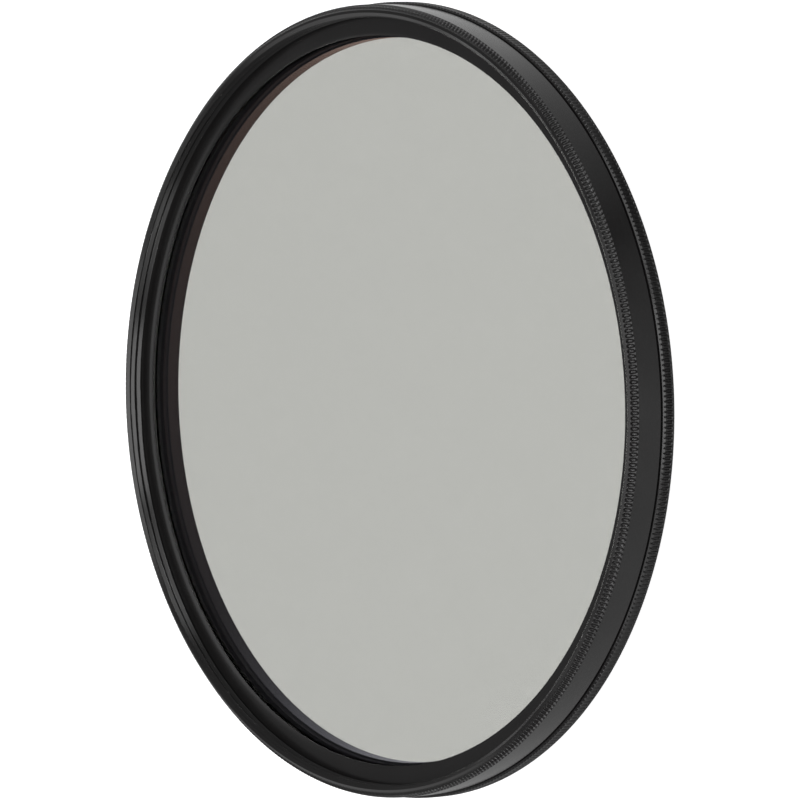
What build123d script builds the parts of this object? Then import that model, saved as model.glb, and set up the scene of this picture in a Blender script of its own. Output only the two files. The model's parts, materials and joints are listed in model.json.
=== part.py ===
from build123d import *
import os
from math import cos, pi, sin

# Circular polarising lens filter for a 77 mm thread. It lies on the end of its rear thread,
# with the lens axis along +Z and the front rim up. All sizes are in millimetres.

# Screw threads, front and rear: nominal diameter of the 0.75 mm pitch filter thread
thread_diameter = 77.0
rear_thread_length = 1.4
rear_thread_lead_in = 0.25

# Radial walls, outwards and inwards from the thread
band_wall = 1.0
rear_rim_overhang = 0.25
hub_step = 0.4
hub_wall = 0.9
lip_overlap = 0.8
web_width = 2.0

# Heights along the axis
web_over_thread = 0.1
hub_projection = 1.4
recess_depth = 1.6
lip_thickness = 0.4
lip_slope_width = 0.7
lip_slope_drop = 0.1
pane_thickness = 0.9
polariser_thickness = 0.1
retarder_thickness = 0.1
retainer_height = 0.8

# Front rim: flat face beside the thread, sloping shoulder and knurled bevel
rim_face_width = 0.2
shoulder_width = 0.25
shoulder_height = 0.1
front_bevel_height = 0.6

# Straight knurls; the rear one lies between two plain rims
knurl_pitch = 0.5
front_tooth_depth = 0.2
rear_tooth_depth = 0.2
rear_upper_rim = 0.25
rear_lower_rim = 0.2
rear_rim_bevel = 0.1
knurl_setback = 0.05

# Rear end of the bore, flared to clear the lens
flare_width = 0.8
flare_height = 0.58

# Retaining ring and its two spanner slots
retainer_inset = 0.05
slot_width = 1.2
slot_depth = 0.3
slot_count = 2

# Split ring of spring wire between the two rings
wire_diameter = 0.35
wire_opening = 5.0

# Clearances
running_clearance = 0.1
end_clearance = 0.1
ring_gap = 0.15
glass_clearance = 0.1
retainer_clearance = 0.05
groove_clearance = 0.04

# Radii that follow from the walls
thread_radius = thread_diameter / 2
band_radius = thread_radius + band_wall
rear_rim_radius = band_radius + rear_rim_overhang
hub_radius = thread_radius - hub_step
counterbore_radius = hub_radius + running_clearance
pocket_radius = hub_radius - hub_wall
lip_radius = pocket_radius - lip_overlap
glass_radius = pocket_radius - glass_clearance
rear_bore_radius = counterbore_radius - web_width
rim_outer_radius = thread_radius + rim_face_width
bevel_top_radius = rim_outer_radius + shoulder_width
bevel_foot_radius = band_radius - knurl_setback
shoulder_radius = bevel_top_radius - front_tooth_depth - knurl_setback

# Levels along the axis, from the rear thread's end upwards
flange_bottom = rear_thread_length
counterbore_floor = flange_bottom + web_over_thread
hub_bottom = counterbore_floor + end_clearance
band_bottom = hub_bottom + hub_projection
flange_top = band_bottom - ring_gap
rear_glass_bottom = hub_bottom + retainer_height
retarder_bottom = rear_glass_bottom + pane_thickness
polariser_bottom = retarder_bottom + retarder_thickness
front_glass_bottom = polariser_bottom + polariser_thickness
lip_bottom = front_glass_bottom + pane_thickness
lip_top = lip_bottom + lip_thickness
rim_top = lip_top + recess_depth
bevel_top = rim_top - shoulder_height
bevel_bottom = bevel_top - front_bevel_height

# The spring wire runs midway between the hub's end and the flange's top face
wire_level = (hub_bottom + flange_top) / 2
groove_half_height = wire_diameter / 2 + groove_clearance
groove_bottom = wire_level - groove_half_height
groove_top = wire_level + groove_half_height
hub_groove_radius = hub_radius - wire_diameter - groove_clearance
rear_groove_radius = counterbore_radius + wire_diameter / 2 + groove_clearance


def outline(points):
    """Flat face from (radius, height) corners, in the plane through the lens axis."""
    corners = [(radius, 0, height) for radius, height in points]
    return make_face(Polyline(*corners, close=True)).face()


def turned(face):
    """Solid of revolution of a profile about the lens axis."""
    return revolve(face, Axis.Z)


def tube(outer_radius, inner_radius, bottom, top):
    """Plain ring between two levels."""
    corners = [(inner_radius, bottom), (outer_radius, bottom), (outer_radius, top), (inner_radius, top)]
    return turned(outline(corners))


def disc(radius, bottom, thickness):
    """Round plate, lying flat."""
    return extrude(Plane.XY.offset(bottom) * Circle(radius), thickness)


def tooth_count(crest_radius):
    """Whole number of teeth nearest to the knurl's pitch."""
    return round(2 * pi * crest_radius / knurl_pitch)


def toothed_face(crest_radius, root_share, teeth, level):
    """Flat face with straight V teeth all round its edge, whose roots lie at a share of the radius."""
    root_radius = crest_radius * root_share
    points = []
    for tooth in range(teeth):
        crest_angle = 2 * pi * tooth / teeth
        root_angle = crest_angle + pi / teeth
        points.append((crest_radius * cos(crest_angle), crest_radius * sin(crest_angle), level))
        points.append((root_radius * cos(root_angle), root_radius * sin(root_angle), level))
    return make_face(Polyline(*points, close=True))


def front_knurl():
    """Knurled bevel round the front corner: V teeth that run up a cone, so that each flank is flat."""
    teeth = tooth_count(bevel_foot_radius)
    root_share = 1 - front_tooth_depth / bevel_foot_radius
    lower = toothed_face(bevel_foot_radius, root_share, teeth, bevel_bottom)
    upper = toothed_face(bevel_top_radius, root_share, teeth, bevel_top)
    return loft([lower, upper], ruled=True) - disc(thread_radius, bevel_bottom, front_bevel_height)


def front_ring():
    """Front ring: hub with its wire groove, smooth band, lip, front thread's bore, knurled rim."""
    body = outline([
        (pocket_radius, hub_bottom),
        (hub_radius, hub_bottom),
        (hub_radius, groove_bottom),
        (hub_groove_radius, groove_bottom),
        (hub_groove_radius, groove_top),
        (hub_radius, groove_top),
        (hub_radius, band_bottom),
        (band_radius, band_bottom),
        (band_radius, bevel_bottom),
        (thread_radius, bevel_bottom),
        (thread_radius, lip_top),
        (lip_radius + lip_slope_width, lip_top),
        (lip_radius, lip_top - lip_slope_drop),
        (lip_radius, lip_bottom),
        (pocket_radius, lip_bottom),
    ])
    shoulder = outline([
        (thread_radius, bevel_top),
        (shoulder_radius, bevel_top),
        (rim_outer_radius, rim_top),
        (thread_radius, rim_top),
    ])
    return turned(body) + front_knurl() + turned(shoulder)


def rear_ring():
    """Rear ring: male thread's barrel with its flared bore, knurled flange, counterbore and wire groove."""
    knurl_radius = rear_rim_radius - knurl_setback
    knurl_bottom = flange_bottom + rear_lower_rim
    knurl_height = flange_top - rear_upper_rim - knurl_bottom
    root_share = 1 - rear_tooth_depth / knurl_radius
    teeth = tooth_count(knurl_radius)
    knurl = extrude(toothed_face(knurl_radius, root_share, teeth, knurl_bottom), knurl_height)
    lower_rim = disc(rear_rim_radius, flange_bottom, rear_lower_rim)
    upper_rim = outline([
        (0, flange_top - rear_upper_rim),
        (rear_rim_radius, flange_top - rear_upper_rim),
        (rear_rim_radius, flange_top - rear_rim_bevel),
        (rear_rim_radius - rear_rim_bevel, flange_top),
        (0, flange_top),
    ])
    flange = lower_rim + knurl + turned(upper_rim)
    barrel = outline([
        (rear_bore_radius + flare_width, 0),
        (thread_radius - rear_thread_lead_in, 0),
        (thread_radius, rear_thread_lead_in),
        (thread_radius, flange_bottom),
        (rear_bore_radius, flange_bottom),
        (rear_bore_radius, flare_height),
    ])
    hollow = outline([
        (0, flange_bottom),
        (rear_bore_radius, flange_bottom),
        (rear_bore_radius, counterbore_floor),
        (counterbore_radius, counterbore_floor),
        (counterbore_radius, groove_bottom),
        (rear_groove_radius, groove_bottom),
        (rear_groove_radius, groove_top),
        (counterbore_radius, groove_top),
        (counterbore_radius, flange_top),
        (0, flange_top),
    ])
    return flange - turned(hollow) + turned(barrel)


def retaining_ring():
    """Threaded ring that clamps the optic against the lip, with spanner slots in its rear face."""
    ring = tube(pocket_radius - retainer_clearance, lip_radius + retainer_inset, hub_bottom,
                rear_glass_bottom)
    reach = 2 * pocket_radius
    cutter = Box(reach, slot_width, slot_depth, align=(Align.MIN, Align.CENTER, Align.MIN))
    for slot in range(slot_count):
        ring = ring - Rot(0, 0, 360 / slot_count * slot) * Pos(0, 0, hub_bottom) * cutter
    return ring


def snap_ring():
    """Spring wire bent to a ring, split so that it can be pressed into the hub's groove.

    Its round section is simplified to six sides, with a corner outwards and one inwards.
    """
    section = Plane.XZ * Pos(counterbore_radius, wire_level) * RegularPolygon(wire_diameter / 2, 6)
    opening_angle = wire_opening / counterbore_radius * 180 / pi
    return revolve(section, Axis.Z, 360 - opening_angle)


parts = {
    "front_ring": front_ring(),
    "rear_ring": rear_ring(),
    "retaining_ring": retaining_ring(),
    "snap_ring": snap_ring(),
    "front_glass": disc(glass_radius, front_glass_bottom, pane_thickness),
    "polarising_film": disc(glass_radius, polariser_bottom, polariser_thickness),
    "quarter_wave_film": disc(glass_radius, retarder_bottom, retarder_thickness),
    "rear_glass": disc(glass_radius, rear_glass_bottom, pane_thickness),
}

os.makedirs("parts", exist_ok=True)
for name, solid in parts.items():
    export_step(solid, f"parts/{name}.step")
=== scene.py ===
import json
import math

import bpy
from mathutils import Matrix, Vector


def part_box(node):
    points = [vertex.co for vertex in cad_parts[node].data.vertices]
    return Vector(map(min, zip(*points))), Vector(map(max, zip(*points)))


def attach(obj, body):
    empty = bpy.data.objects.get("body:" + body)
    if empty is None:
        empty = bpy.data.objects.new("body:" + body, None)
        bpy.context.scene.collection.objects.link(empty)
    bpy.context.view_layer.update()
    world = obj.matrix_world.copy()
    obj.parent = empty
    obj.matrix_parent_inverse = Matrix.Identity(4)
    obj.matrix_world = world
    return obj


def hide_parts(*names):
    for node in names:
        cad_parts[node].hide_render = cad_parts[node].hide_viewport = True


# Circular polarising lens filter, lying on the end of its rear thread with the lens axis along +Z.
# Both rings and the discs of the optic are finer meshes that stand in the place of their solids.
# Sizes are in millimetres and angles in degrees, unless a comment says otherwise.
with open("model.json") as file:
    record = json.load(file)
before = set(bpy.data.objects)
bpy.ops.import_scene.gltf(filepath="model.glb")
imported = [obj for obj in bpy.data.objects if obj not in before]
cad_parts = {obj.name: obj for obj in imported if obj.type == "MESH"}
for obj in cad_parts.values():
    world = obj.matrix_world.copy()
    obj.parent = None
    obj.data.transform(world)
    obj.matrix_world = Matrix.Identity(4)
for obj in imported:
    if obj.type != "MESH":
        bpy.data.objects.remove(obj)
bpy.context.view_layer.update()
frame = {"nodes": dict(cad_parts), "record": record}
nodes = frame["nodes"]
MM = 0.001


def node_span(node):
    """Outer radius, lowest and highest level of a node."""
    low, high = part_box(node)
    return high.x / MM, low.z / MM, high.z / MM


# Sizes that the frame gives
mounts = {mount["name"]: mount for mount in frame["record"]["mounts"]}
thread_radius = mounts["front_thread"]["dims"]["r_mm"]
band_radius, hub_bottom, rim_top = node_span("front_ring")
rear_rim_radius, rear_end, flange_top = node_span("rear_ring")
glass_radius, _, lip_bottom = node_span("front_glass")
_, wire_bottom, wire_top = node_span("snap_ring")

# Clearances and edge breaks
glass_clearance = 0.1
running_clearance = 0.1
groove_clearance = 0.04
edge_break = 0.05

# Edges at the running gap, set lower than the top of the solid flange, where the photo has them
band_drop = 0.03
flange_drop = 0.22

# Front ring: hub, lip, rim and the bevel round its front corner
hub_step = 0.4
hub_groove_depth = 0.39
lip_overlap = 0.8
lip_thickness = 0.4
rim_face_width = 0.2
shoulder_width = 0.25
shoulder_height = 0.1
front_bevel_height = 0.6
hub_radius = thread_radius - hub_step
hub_groove_radius = hub_radius - hub_groove_depth
pocket_radius = glass_radius + glass_clearance
lip_radius = pocket_radius - lip_overlap
lip_top = lip_bottom + lip_thickness
band_bottom = flange_top - band_drop
rim_outer_radius = thread_radius + rim_face_width
bevel_top_radius = rim_outer_radius + shoulder_width
bevel_top = rim_top - shoulder_height
bevel_bottom = bevel_top - front_bevel_height

# Inner edge of the lip: a rounded slope down to the bore, which is undercut towards the glass
lip_slope_width = 0.7
lip_slope_drop = 0.1
lip_slope_steps = (0.0, 0.25, 0.5, 0.75, 1.0)
lip_wall = 0.04
lip_undercut = 0.3

# Chamfer inside the rim, the narrow flat that it leaves, and the slope from its foot to the thread
rim_flat = 0.03
rim_chamfer_foot = 0.14
rim_chamfer_drop = 0.18
rim_foot_slope = 1.75
chamfer_bottom = rim_top - rim_chamfer_drop

# Rear ring: flange, counterbore for the hub, collar round the bore and the bore's flared end
flange_bottom = 1.28
flange_bevel = 0.2
counterbore_floor = 1.5
rear_groove_depth = 0.215
web_width = 2.0
bore_collar_width = 0.2
bore_collar_height = 0.45
flare_width = 0.8
flare_height = 0.58
counterbore_radius = hub_radius + running_clearance
rear_groove_radius = counterbore_radius + rear_groove_depth
rear_bore_radius = counterbore_radius - web_width
flange_face = flange_top - flange_drop
flange_bevel_bottom = flange_face - flange_bevel

# Filter thread, 0.75 mm pitch: shallow ridges whose flanks lean 45 degrees, as they look in the photo
thread_pitch = 0.75
thread_depth = 0.28
thread_crest_share = 0.1
thread_root_share = 0.153
thread_start_height = 0.46
thread_start_level = lip_top + thread_start_height
thread_row_height = 0.03
thread_relief = 0.1
lead_in_slope = 1.2

# Knurls: a phase is a place across one tooth, from land to land. Ends, run-outs and steps of the front
# slots are shares of the bevel's length, and steps of the rear slots are shares of a run-out.
knurl_pitch = 0.5
front_slot_depth = 0.17
front_slot_width = 0.42
front_slot_ends = (-0.04, 1.04)
front_run_out = 0.34
front_phases = (0.0, 0.1, 0.18, 0.27, 0.38, 0.5, 0.62, 0.73, 0.82, 0.9)
front_slot_steps = (1.0, 0.95, 0.88, 0.8, 0.7, 0.5, 0.3, 0.2, 0.12, 0.05, 0.0)
rear_slot_depth = 0.2
rear_slot_width = 0.42
rear_lower_rim = 0.15
rear_upper_rim = 0.06
rear_upper_run_out = 0.5
rear_lower_run_out = 0.12
rear_phases = (0.0, 0.08, 0.17, 0.27, 0.38, 0.5, 0.62, 0.73, 0.83, 0.92)
rear_lower_steps = (0.0, 0.5, 1.0)
rear_upper_steps = (1.0, 0.7, 0.45)
rear_slot_bottom = flange_bottom + rear_lower_rim
rear_slot_top = flange_face - rear_upper_rim

# Optic: the discs lie a hair apart, so that no faces coincide
hair = 0.005
pane_edge = 0.12
film_edge = 0.01
disc_segments = 720

# Edges that turn by more than this are shaded as corners
corner_angle = 35

# Finish of the black rings: grains in cells per metre, bump height in metres
ring_tints = ((0.0085, 0.008, 0.008), (0.0115, 0.011, 0.011))
ring_roughness = 0.2
inner_tints = ((0.013, 0.0125, 0.012), (0.016, 0.0155, 0.015))
inner_roughness = 0.55
roughness_spread = 0.04
noise_low = 0.3
noise_high = 0.7
dye_scale = 160.0
dye_detail = 5.0
etch_scale = 9000.0
etch_detail = 3.0
etch_strength = 0.12
turning_scale = 14000.0
turning_strength = 0.2
bump_height = 0.000004
turning_anisotropy = 0.3
anisotropy_turn = 0.25
anodised_ior = 1.5

# Finish of the optic and of the spring wire
pane_colour = (0.97, 0.98, 0.97)
coating_tint = (0.10, 0.09, 0.16)
glass_ior = 1.52
polariser_colour = (0.549, 0.542, 0.532)
retarder_colour = (0.98, 0.98, 0.97)
ground_tints = ((0.06, 0.058, 0.057), (0.1, 0.097, 0.095))
ground_scale = 12000.0
ground_roughness = 0.7
wire_colour = (0.55, 0.55, 0.56)
wire_scale = 6000.0
wire_roughness = (0.25, 0.45)

# Camera: distance, aim and focal length come from the circles of the photo
camera_distance = 803.0
camera_tilt = 49.87955
camera_roll = -2.519356
aim_shift = (3.066, 0.025)
focal_pixels = 8059.3
photo_pixels = 800.0
sensor_width = 36.0

# Lamps: name, lean from overhead, turn about the lens axis from +X, size in metres, brightness
lamp_distance = 0.95
lamps = (
    ("overhead", 13, 0, (0.65, 0.7), 0.85),
    ("key", 12, 0, (0.2, 0.9), 3.3),
    ("front_high", 40, 0, (0.3, 0.6), 3.2),
    ("front_left", 55, -52, (0.5, 0.5), 1.05),
    ("front_right", 55, 52, (0.5, 0.5), 1.6),
    ("glint_left", 68, -50, (0.14, 0.22), 9.0),
    ("glint_right", 68, 50, (0.14, 0.22), 9.0),
    ("side_left", 35, -90, (0.35, 0.6), 0.55),
    ("side_right", 82, 90, (0.25, 0.6), 0.5),
    ("back_high", 34, 170, (0.25, 0.4), 0.9),
    ("back_left", 64, -146, (0.55, 0.5), 0.7),
    ("horizon", 86.5, 180, (0.11, 0.7), 0.5),
    ("horizon_left", 86.5, -163, (0.11, 0.3), 0.4),
)
world_level = 0.2

# Floor: half its width and its level in metres, and the brightness added for the camera
floor_half_width = 4.0
floor_level = -0.00002
floor_colour = (0.8, 0.8, 0.8)
floor_veil = 0.9

# Floor in mirrors, outside the filter: one pale tone, apart from two painted dark reflections and a painted
# bright one, glowing for mirror rays only.
# Each has an edge, its middle and its other edge, by azimuth from +X, and the tone of its middle.
floor_tone = 0.6
# Painted reflections: tones that the floor's glow shows to mirror rays only
painted_dark_reflection_back = (-180, -125, -70, 0.15)
painted_dark_reflection_front = (-2, 26, 54, 0.12)
painted_bright_reflection_right = (54, 66, 180, 0.9)

# Floor in mirrors, under the glass: painted light and shade, four tinted tones by azimuth, each passing
# evenly into the next
# Painted light and shade: glow colours of the floor that the rings mirror through the glass, no lamps
painted_shade_back = (-147, (0.4, 0.35, 0.38))
painted_cool_light_left = (-120, (0.85, 0.85, 1.0))
painted_plain_light_front = (0, (0.6, 0.55, 0.55))
painted_warm_light_back = (140, (1.0, 0.63, 0.53))

# Width over which the one passes into the other, inside the thread's radius
floor_fade_width = 2.0


# Meshes of revolution

def ring_point(radius, angle, level):
    """Point in metres from its radius, angle in radians and level."""
    return radius * MM * math.cos(angle), radius * MM * math.sin(angle), level * MM


def tooth_count(crest_radius):
    """Whole number of teeth nearest to the knurl's pitch."""
    return round(2 * math.pi * crest_radius / knurl_pitch)


class Row:
    """One line of points round a ring: a rule for radius and level, and the phases within a tooth.

    A sharp row is an edge that is shaded as a corner, however flat its angle.
    """

    def __init__(self, place, phases=(0.0,), sharp=False):
        self.place = place
        self.phases = phases
        self.sharp = sharp


def plain(radius, level, sharp=False):
    """Row of constant radius and level."""
    return Row(lambda angle, phase: (radius, level), sharp=sharp)


def solid_object(name, vertices, faces):
    """Mesh object, smooth apart from its corners."""
    mesh = bpy.data.meshes.new(name)
    mesh.from_pydata(vertices, [], faces)
    mesh.validate()
    mesh.shade_smooth()
    mesh.set_sharp_from_angle(angle=math.radians(corner_angle))
    item = bpy.data.objects.new(name, mesh)
    bpy.context.scene.collection.objects.link(item)
    return item


def tooth_points(start, row, tooth, teeth):
    """Point numbers of a row over one tooth, with the next tooth's first point."""
    steps = len(row.phases)
    total = steps * teeth
    return [start + (tooth * steps + step) % total for step in range(steps + 1)]


def band_faces(start, row, other_start, other, teeth):
    """Faces between two rows; where their phases differ, one many-sided face for each tooth."""
    faces = []
    for tooth in range(teeth):
        here = tooth_points(start, row, tooth, teeth)
        there = tooth_points(other_start, other, tooth, teeth)
        if row.phases == other.phases:
            for step in range(len(row.phases)):
                faces.append((here[step], here[step + 1], there[step + 1], there[step]))
        else:
            faces.append(tuple(here) + tuple(reversed(there)))
    return faces


def swept_ring(name, rows, teeth):
    """Closed ring from rows that follow its section round, the last joined to the first."""
    vertices = []
    starts = []
    corners = set()
    for row in rows:
        start = len(vertices)
        starts.append(start)
        for tooth in range(teeth):
            for phase in row.phases:
                angle = 2 * math.pi * (tooth + phase) / teeth
                radius, level = row.place(angle, phase)
                vertices.append(ring_point(radius, angle, level))
        if row.sharp:
            corners.update(range(start, len(vertices)))
    faces = []
    for index, row in enumerate(rows):
        follower = (index + 1) % len(rows)
        faces += band_faces(starts[index], row, starts[follower], rows[follower], teeth)
    item = solid_object(name, vertices, faces)
    for edge in item.data.edges:
        first, second = edge.vertices
        if first in corners and second in corners:
            edge.use_edge_sharp = True
    return item


def disc(name, radius, bottom, top, bevel):
    """Round plate with bevelled edges, its two faces each one polygon."""
    inset = radius - bevel
    section = [(inset, bottom), (radius, bottom + bevel), (radius, top - bevel), (inset, top)]
    vertices = []
    for ring_radius, level in section:
        for column in range(disc_segments):
            angle = 2 * math.pi * column / disc_segments
            vertices.append(ring_point(ring_radius, angle, level))
    last_ring = len(section) - 1
    lower_face = tuple(reversed(range(disc_segments)))
    upper_face = tuple(range(last_ring * disc_segments, len(vertices)))
    faces = [lower_face, upper_face]
    for ring in range(last_ring):
        here = ring * disc_segments
        above = here + disc_segments
        for column in range(disc_segments):
            after = (column + 1) % disc_segments
            faces.append((here + column, here + after, above + after, above + column))
    return solid_object(name, vertices, faces)


# Threads

def thread_ridge(share):
    """Height of the thread's ridge, 0 to 1, at a share of its pitch from the middle of the crest."""
    distance = abs((share + 0.5) % 1.0 - 0.5)
    flank = (1 - thread_crest_share - thread_root_share) / 2
    return min(max((thread_crest_share / 2 + flank - distance) / flank, 0.0), 1.0)


def helix_share(angle, level):
    """Place along the thread's pitch at a point of the wall."""
    return (level - thread_start_level) / thread_pitch - angle / (2 * math.pi)


def front_thread_row(level):
    """Row of the female thread: ridges that stand inwards from the nominal radius."""
    depth = chamfer_bottom - level
    foot = rim_chamfer_foot - depth * rim_foot_slope
    lead_in = rim_chamfer_foot + depth * lead_in_slope

    def place(angle, phase):
        ridge = thread_ridge(helix_share(angle, level))
        return thread_radius - min(max(thread_depth * ridge, foot), lead_in), level
    return Row(place)


def rear_thread_row(level):
    """Row of the male thread: grooves cut inwards from the nominal radius, under the lead-in bevel."""
    lead_in = thread_radius - thread_depth + level * lead_in_slope

    def place(angle, phase):
        groove = thread_ridge(helix_share(angle, level))
        return min(thread_radius - thread_depth * groove, lead_in), level
    return Row(place)


# Knurls

def slot_depth(phase, width, into_first_end, into_last_end):
    """Depth of a knurl's slot, 0 to 1: a rounded V whose two ends narrow to points.

    The last two values are how far the place lies past each end, as shares of that end's length.
    """
    sideways = abs(phase - 0.5) * knurl_pitch / (width / 2)
    inside = min(max(min(into_first_end, into_last_end), 0.0), 1.0)
    spread = math.sin(inside * math.pi / 2)
    return math.sin(max(spread - sideways, 0.0) * math.pi / 2)


def front_knurl_row(along):
    """Row of the knurled bevel, at a share of its length from the top edge to the band."""
    run = band_radius - bevel_top_radius
    drop = bevel_top - bevel_bottom
    length = math.hypot(run, drop)
    outward = drop / length
    upward = run / length
    first, last = front_slot_ends
    from_top = (along - first) / front_run_out
    from_foot = (last - along) / front_run_out

    def place(angle, phase):
        depth = front_slot_depth * slot_depth(phase, front_slot_width, from_top, from_foot)
        radius = bevel_top_radius + run * along - depth * outward
        return radius, bevel_top - drop * along - depth * upward
    return Row(place, front_phases, sharp=along in (0.0, 1.0))


def rear_knurl_row(level, sharp=False):
    """Row of the rear knurl, whose slots run up into the bevel."""
    surface = rear_rim_radius - max(level - flange_bevel_bottom, 0.0)
    from_top = (rear_slot_top - level) / rear_upper_run_out
    from_foot = (level - rear_slot_bottom) / rear_lower_run_out

    def place(angle, phase):
        depth = rear_slot_depth * slot_depth(phase, rear_slot_width, from_top, from_foot)
        return surface - depth, level
    return Row(place, rear_phases, sharp)


# Pieces

def lip_row(share):
    """Row of the lip's rounded inner edge, at a share of its width from the flat to the bore."""
    radius = lip_radius + lip_slope_width * (1 - share)
    level = lip_top - lip_slope_drop * share * share
    return plain(radius, level, sharp=share == 1.0)


def front_ring():
    """Front ring: hub, smooth band, knurled bevel, rim, threaded wall and lip."""
    rows = [
        plain(pocket_radius, hub_bottom),
        plain(hub_radius, hub_bottom),
        plain(hub_radius, wire_bottom - groove_clearance),
        plain(hub_groove_radius, wire_bottom - groove_clearance),
        plain(hub_groove_radius, wire_top + groove_clearance),
        plain(hub_radius, wire_top + groove_clearance),
        plain(hub_radius, band_bottom),
        plain(band_radius - edge_break, band_bottom),
        plain(band_radius, band_bottom + edge_break),
        plain(band_radius, bevel_bottom - edge_break),
    ]
    rows += [front_knurl_row(along) for along in front_slot_steps]
    rows += [
        plain(rim_outer_radius, rim_top, sharp=True),
        plain(rim_outer_radius - rim_flat, rim_top, sharp=True),
        plain(thread_radius - rim_chamfer_foot, chamfer_bottom, sharp=True),
    ]
    wall_height = chamfer_bottom - lip_top
    count = round(wall_height / thread_row_height)
    for step in range(1, count + 1):
        rows.append(front_thread_row(chamfer_bottom - wall_height * step / count))
    rows += [lip_row(share) for share in lip_slope_steps]
    rows += [
        plain(lip_radius, lip_top - lip_slope_drop - lip_wall),
        plain(lip_radius + lip_undercut, lip_bottom),
        plain(pocket_radius, lip_bottom),
    ]
    return swept_ring("front_ring_turned", rows, tooth_count(band_radius - edge_break))


def rear_ring():
    """Rear ring: knurled flange, counterbore with its wire groove, bore and male thread."""
    thread_root = thread_radius - thread_depth
    rows = [
        plain(rear_bore_radius + flare_width, rear_end),
        plain(thread_root, rear_end),
    ]
    thread_length = flange_bottom - thread_relief
    count = round(thread_length / thread_row_height)
    rows += [rear_thread_row(thread_length * step / count) for step in range(count + 1)]
    rows += [
        plain(thread_root, flange_bottom),
        plain(rear_rim_radius - edge_break, flange_bottom),
        plain(rear_rim_radius, flange_bottom + edge_break),
    ]
    rows += [rear_knurl_row(rear_slot_bottom + rear_lower_run_out * share) for share in rear_lower_steps]
    rows += [rear_knurl_row(rear_slot_top - rear_upper_run_out * share) for share in rear_upper_steps]
    rows += [
        rear_knurl_row(flange_bevel_bottom, sharp=True),
        rear_knurl_row((flange_bevel_bottom + rear_slot_top) / 2),
        rear_knurl_row(rear_slot_top),
        plain(rear_rim_radius - flange_bevel, flange_face),
        plain(counterbore_radius + edge_break, flange_face),
        plain(counterbore_radius, flange_face - edge_break),
        plain(counterbore_radius, wire_top + groove_clearance),
        plain(rear_groove_radius, wire_top + groove_clearance),
        plain(rear_groove_radius, wire_bottom - groove_clearance),
        plain(counterbore_radius, wire_bottom - groove_clearance),
        plain(counterbore_radius, counterbore_floor),
        plain(rear_bore_radius + bore_collar_width, counterbore_floor),
        plain(rear_bore_radius + bore_collar_width, counterbore_floor + bore_collar_height),
        plain(rear_bore_radius, counterbore_floor + bore_collar_height),
        plain(rear_bore_radius, flare_height),
    ]
    return swept_ring("rear_ring_turned", rows, tooth_count(rear_rim_radius))


def stack_disc(node, bevel):
    """Disc of the laminated optic in the place of its CAD node."""
    radius, bottom, top = node_span(node)
    return disc(node + "_disc", radius, bottom + hair, top - hair, bevel)


# Nodes that the materials share

def material(name):
    """New node material, its tree and its shader."""
    made = bpy.data.materials.new(name)
    made.use_nodes = True
    return made, made.node_tree, made.node_tree.nodes["Principled BSDF"]


def object_place(tree):
    """Place on the object, in metres."""
    return tree.nodes.new("ShaderNodeTexCoord").outputs["Object"]


def noise(tree, place, scale, detail=2.0):
    """Noise over a place, 0 to 1."""
    texture = tree.nodes.new("ShaderNodeTexNoise")
    texture.inputs["Scale"].default_value = scale
    texture.inputs["Detail"].default_value = detail
    tree.links.new(place, texture.inputs["Vector"])
    return texture.outputs["Fac"]


def colour_ramp(tree, share, stops):
    """Colours by a share from 0 to 1, from pairs of share and colour."""
    ramp = tree.nodes.new("ShaderNodeValToRGB")
    elements = ramp.color_ramp.elements
    while len(elements) < len(stops):
        elements.new(0.5)
    for element, (position, colour) in zip(elements, stops):
        element.position = position
        element.color = (*colour, 1)
    tree.links.new(share, ramp.inputs["Fac"])
    return ramp.outputs["Color"]


def map_range(tree, value, before, after):
    """A value carried over from one range, a pair of limits, to another."""
    node = tree.nodes.new("ShaderNodeMapRange")
    node.inputs["From Min"].default_value = before[0]
    node.inputs["From Max"].default_value = before[1]
    node.inputs["To Min"].default_value = after[0]
    node.inputs["To Max"].default_value = after[1]
    tree.links.new(value, node.inputs["Value"])
    return node.outputs["Result"]


def length_of(tree, vector):
    """Length of a vector."""
    node = tree.nodes.new("ShaderNodeVectorMath")
    node.operation = "LENGTH"
    tree.links.new(vector, node.inputs[0])
    return node.outputs["Value"]


def bump(tree, height, strength):
    """Bump node over a height."""
    node = tree.nodes.new("ShaderNodeBump")
    node.inputs["Strength"].default_value = strength
    node.inputs["Distance"].default_value = bump_height
    tree.links.new(height, node.inputs["Height"])
    return node


def section_place(tree, place):
    """Place in the ring's section: distance from the lens axis, and level."""
    split = tree.nodes.new("ShaderNodeSeparateXYZ")
    flat = tree.nodes.new("ShaderNodeCombineXYZ")
    section = tree.nodes.new("ShaderNodeCombineXYZ")
    tree.links.new(place, split.inputs[0])
    tree.links.new(split.outputs["X"], flat.inputs["X"])
    tree.links.new(split.outputs["Y"], flat.inputs["Y"])
    tree.links.new(length_of(tree, flat.outputs[0]), section.inputs["X"])
    tree.links.new(split.outputs["Z"], section.inputs["Y"])
    return section.outputs[0]


# Materials

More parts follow.
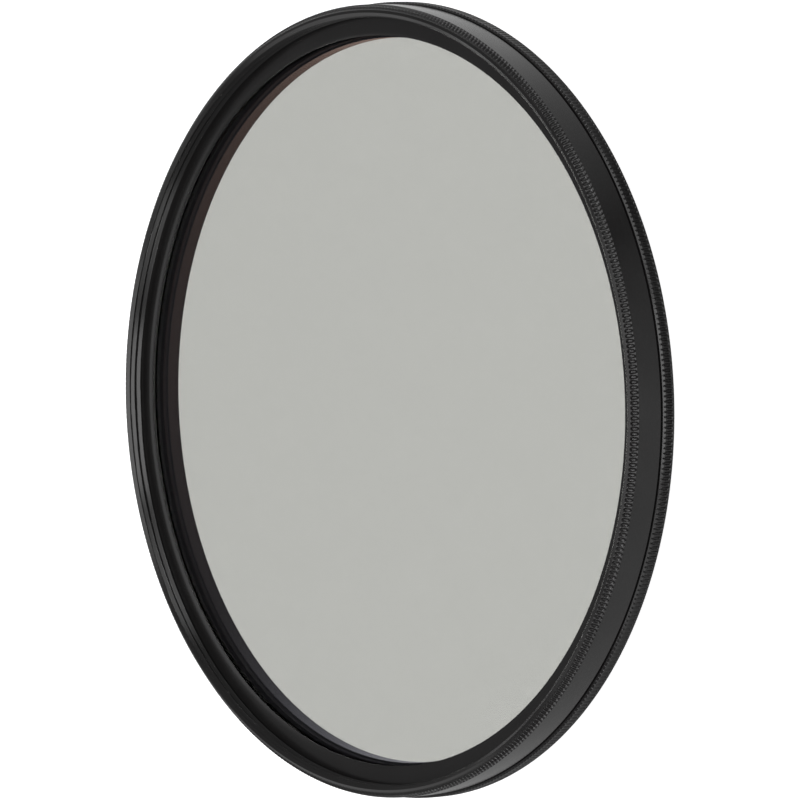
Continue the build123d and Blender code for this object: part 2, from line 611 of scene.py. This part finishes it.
def anodised(name, tints, roughness):
    """Black anodised aluminium: turning marks round the axis, a fine etched grain, uneven dye."""
    made, tree, shader = material(name)
    link = tree.links.new
    place = object_place(tree)
    dark, light = tints
    dye = noise(tree, place, dye_scale, dye_detail)
    colour = colour_ramp(tree, dye, [(noise_low, dark), (noise_high, light)])
    link(colour, shader.inputs["Base Color"])
    etch = noise(tree, place, etch_scale, etch_detail)
    limits = (roughness - roughness_spread, roughness + roughness_spread)
    link(map_range(tree, etch, (noise_low, noise_high), limits), shader.inputs["Roughness"])
    marks = noise(tree, section_place(tree, place), turning_scale)
    etched = bump(tree, etch, etch_strength)
    turned = bump(tree, marks, turning_strength)
    link(etched.outputs["Normal"], turned.inputs["Normal"])
    link(turned.outputs["Normal"], shader.inputs["Normal"])
    around = tree.nodes.new("ShaderNodeTangent")
    around.direction_type = "RADIAL"
    around.axis = "Z"
    link(around.outputs["Tangent"], shader.inputs["Tangent"])
    shader.inputs["Anisotropic"].default_value = turning_anisotropy
    shader.inputs["Anisotropic Rotation"].default_value = anisotropy_turn
    shader.inputs["IOR"].default_value = anodised_ior
    return made


def clear(name, colour, ior):
    """Clear material that tints the light, and its shader."""
    made, _, shader = material(name)
    shader.inputs["Base Color"].default_value = (*colour, 1)
    shader.inputs["Roughness"].default_value = 0.0
    shader.inputs["IOR"].default_value = ior
    shader.inputs["Transmission Weight"].default_value = 1.0
    return made, shader


def coated_glass(name):
    """Optical glass whose coating leaves a weak tinted reflection."""
    made, shader = clear(name, pane_colour, glass_ior)
    shader.inputs["Specular Tint"].default_value = (*coating_tint, 1)
    return made


def bonded_film(name, colour):
    """Bonded film: it tints the light and does not bend it."""
    made, shader = clear(name, colour, ior=1.0)
    shader.inputs["Specular IOR Level"].default_value = 0.0
    return made


def ground_edge(name):
    """Fine-ground rim of a pane, inked dark grey."""
    made, tree, shader = material(name)
    dark, light = ground_tints
    grit = noise(tree, object_place(tree), ground_scale)
    tree.links.new(colour_ramp(tree, grit, [(0.0, dark), (1.0, light)]), shader.inputs["Base Color"])
    shader.inputs["Roughness"].default_value = ground_roughness
    return made


def spring_steel(name):
    """Drawn steel wire whose gloss is finely uneven."""
    made, tree, shader = material(name)
    grain = noise(tree, object_place(tree), wire_scale)
    tree.links.new(map_range(tree, grain, (0.0, 1.0), wire_roughness), shader.inputs["Roughness"])
    shader.inputs["Base Color"].default_value = (*wire_colour, 1)
    shader.inputs["Metallic"].default_value = 1.0
    return made


def emission(tree, strength=1.0):
    """White glow of a given strength."""
    node = tree.nodes.new("ShaderNodeEmission")
    node.inputs["Color"].default_value = (1, 1, 1, 1)
    node.inputs["Strength"].default_value = strength
    return node


def choose(tree, switch, when_off, when_on):
    """Shader that a switch picks from two."""
    node = tree.nodes.new("ShaderNodeMixShader")
    tree.links.new(switch, node.inputs["Fac"])
    tree.links.new(when_off, node.inputs[1])
    tree.links.new(when_on, node.inputs[2])
    return node.outputs[0]


def azimuth_share(azimuth):
    """Share of a full turn, as the radial gradient counts it, at an azimuth from +X."""
    return azimuth / 360 + 0.5


def painted_reflection_stops():
    """Tones of the mirrored floor by share of a turn: pale, apart from the painted dark and bright
    reflections.
    """
    tones = {}
    for edge, middle, other_edge, tone in (painted_dark_reflection_back, painted_dark_reflection_front, painted_bright_reflection_right):
        tones[edge] = floor_tone
        tones[middle] = tone
        tones[other_edge] = floor_tone
    return [(azimuth_share(azimuth), (tone, tone, tone)) for azimuth, tone in sorted(tones.items())]


def painted_light_stops():
    """Colours of the painted light and shade under the glass by share of a turn, with the one where the
    turn closes.
    """
    first, first_colour = painted_shade_back
    last, last_colour = painted_warm_light_back
    closing = (180 - last) / (first + 360 - last)
    seam = tuple(start + (end - start) * closing for start, end in zip(last_colour, first_colour))
    lights = ((-180, seam), painted_shade_back, painted_cool_light_left, painted_plain_light_front, painted_warm_light_back, (180, seam))
    return [(azimuth_share(azimuth), colour) for azimuth, colour in lights]


def mirrored_floor(tree):
    """The floor as the rings mirror it: a glow of painted reflections round the filter, and painted light
    and shade under its glass.
    """
    place = object_place(tree)
    direction = tree.nodes.new("ShaderNodeTexGradient")
    direction.gradient_type = "RADIAL"
    tree.links.new(place, direction.inputs["Vector"])
    fade = ((thread_radius - floor_fade_width) * MM, thread_radius * MM)
    tone = tree.nodes.new("ShaderNodeMix")
    tone.data_type = "RGBA"
    tree.links.new(map_range(tree, length_of(tree, place), fade, (0.0, 1.0)), tone.inputs["Factor"])
    tree.links.new(colour_ramp(tree, direction.outputs["Fac"], painted_light_stops()), tone.inputs["A"])
    tree.links.new(colour_ramp(tree, direction.outputs["Fac"], painted_reflection_stops()), tone.inputs["B"])
    glow = emission(tree)
    tree.links.new(tone.outputs["Result"], glow.inputs["Color"])
    return glow.outputs[0]


def floor_look():
    """White floor: plain white to the camera and through glass, with the object's soft shadow; to mirrors
    it glows with painted reflections.
    """
    made, tree, shader = material("white_floor")
    shader.inputs["Base Color"].default_value = (*floor_colour, 1)
    shader.inputs["Roughness"].default_value = 1.0
    shader.inputs["Specular IOR Level"].default_value = 0.0
    path = tree.nodes.new("ShaderNodeLightPath")
    veiled = tree.nodes.new("ShaderNodeAddShader")
    tree.links.new(emission(tree, floor_veil).outputs[0], veiled.inputs[0])
    tree.links.new(shader.outputs[0], veiled.inputs[1])
    seen = choose(tree, path.outputs["Is Camera Ray"], shader.outputs[0], veiled.outputs[0])
    # Mirror rays see the painted reflections and painted light instead of the lit floor
    seen = choose(tree, path.outputs["Is Glossy Ray"], seen, mirrored_floor(tree))
    seen = choose(tree, path.outputs["Is Transmission Ray"], seen, emission(tree).outputs[0])
    tree.links.new(seen, tree.nodes["Material Output"].inputs["Surface"])
    return made


# The filter

def put(item, body, node, look):
    """The piece stands for its CAD node, rides on its body and takes its finish."""
    item.data.materials.append(look)
    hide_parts(node)
    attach(item, body)


def dress(node, look):
    """A CAD node that stays in view takes a finish."""
    for holder in nodes[node].material_slots:
        holder.material = look


def ink_edges(item, look):
    """The pane's edge faces, which follow its two flat faces, take a finish of their own."""
    item.data.materials.append(look)
    for face in item.data.polygons:
        if face.index > 1:
            face.material_index = 1


def add_rings():
    """Front and rear ring in place of their solids; the retaining ring and the wire keep theirs."""
    black_front = anodised("black_anodised_front", ring_tints, ring_roughness)
    black_rear = anodised("black_anodised_rear", ring_tints, ring_roughness)
    put(front_ring(), "front", "front_ring", black_front)
    put(rear_ring(), "rear", "rear_ring", black_rear)
    dress("retaining_ring", anodised("black_anodised_inner", inner_tints, inner_roughness))
    dress("snap_ring", spring_steel("spring_wire"))


def add_pane(node, slot_name, inked_edge):
    """Coated pane with a ground edge."""
    pane = stack_disc(node, pane_edge)
    put(pane, "front", node, coated_glass(slot_name))
    ink_edges(pane, inked_edge)


def add_film(node, slot_name, colour):
    """Film bonded between the panes."""
    put(stack_disc(node, film_edge), "front", node, bonded_film(slot_name, colour))


def add_optic():
    """Laminated optic, from the front pane to the rear one."""
    inked_edge = ground_edge("ground_glass_edge")
    add_pane("front_glass", "front_coated_glass", inked_edge)
    add_film("polarising_film", "polarising_film", polariser_colour)
    add_film("quarter_wave_film", "retarder_film", retarder_colour)
    add_pane("rear_glass", "rear_coated_glass", inked_edge)


# The studio

def add_floor():
    """Large plain floor under the rear thread's end."""
    half = floor_half_width
    corners = [(x, y, floor_level) for x, y in ((-half, -half), (half, -half), (half, half), (-half, half))]
    mesh = bpy.data.meshes.new("floor")
    mesh.from_pydata(corners, [], [(0, 1, 2, 3)])
    item = bpy.data.objects.new("floor", mesh)
    bpy.context.scene.collection.objects.link(item)
    item.data.materials.append(floor_look())


def add_lamp(name, lean, turn, size, radiance):
    """Soft box that faces the object, at an angle from overhead; its power follows from its brightness."""
    lamp = bpy.data.lights.new(name, "AREA")
    lamp.shape = "RECTANGLE"
    lamp.size, lamp.size_y = size
    lamp.energy = radiance * math.pi * lamp.size * lamp.size_y
    item = bpy.data.objects.new(name, lamp)
    lean = math.radians(lean)
    turn = math.radians(turn)
    away = Vector((math.sin(lean) * math.cos(turn), math.sin(lean) * math.sin(turn), math.cos(lean)))
    item.location = away * lamp_distance
    item.rotation_euler = (0, lean, turn)
    bpy.context.scene.collection.objects.link(item)


def add_world():
    """Even white surroundings."""
    world = bpy.data.worlds.new("surroundings")
    world.use_nodes = True
    back = world.node_tree.nodes["Background"]
    back.inputs["Color"].default_value = (1, 1, 1, 1)
    back.inputs["Strength"].default_value = world_level
    bpy.context.scene.world = world


def add_camera():
    """Camera at the photo's viewing angle, rolled so that the lens axis points to the left."""
    tilt = math.radians(camera_tilt)
    roll = math.radians(camera_roll)
    middle = Vector((0, 0, lip_top * MM))
    place = middle + camera_distance * MM * Vector((math.sin(tilt), 0, math.cos(tilt)))
    aim = middle + MM * Vector((*aim_shift, 0))
    forward = (aim - place).normalized()
    right = forward.cross(Vector((0, 1, 0))).normalized()
    up = right.cross(forward)
    rolled_right = math.cos(roll) * right + math.sin(roll) * up
    rolled_up = math.cos(roll) * up - math.sin(roll) * right
    data = bpy.data.cameras.new("camera")
    data.sensor_width = sensor_width
    data.lens = focal_pixels / photo_pixels * sensor_width
    item = bpy.data.objects.new("camera", data)
    turn = Matrix((rolled_right, rolled_up, -forward)).transposed()
    item.matrix_world = Matrix.Translation(place) @ turn.to_4x4()
    bpy.context.scene.collection.objects.link(item)
    bpy.context.scene.camera = item


add_rings()
add_optic()
add_floor()
for lamp_facts in lamps:
    add_lamp(*lamp_facts)
add_world()
add_camera()
bpy.context.scene.view_settings.view_transform = "Standard"
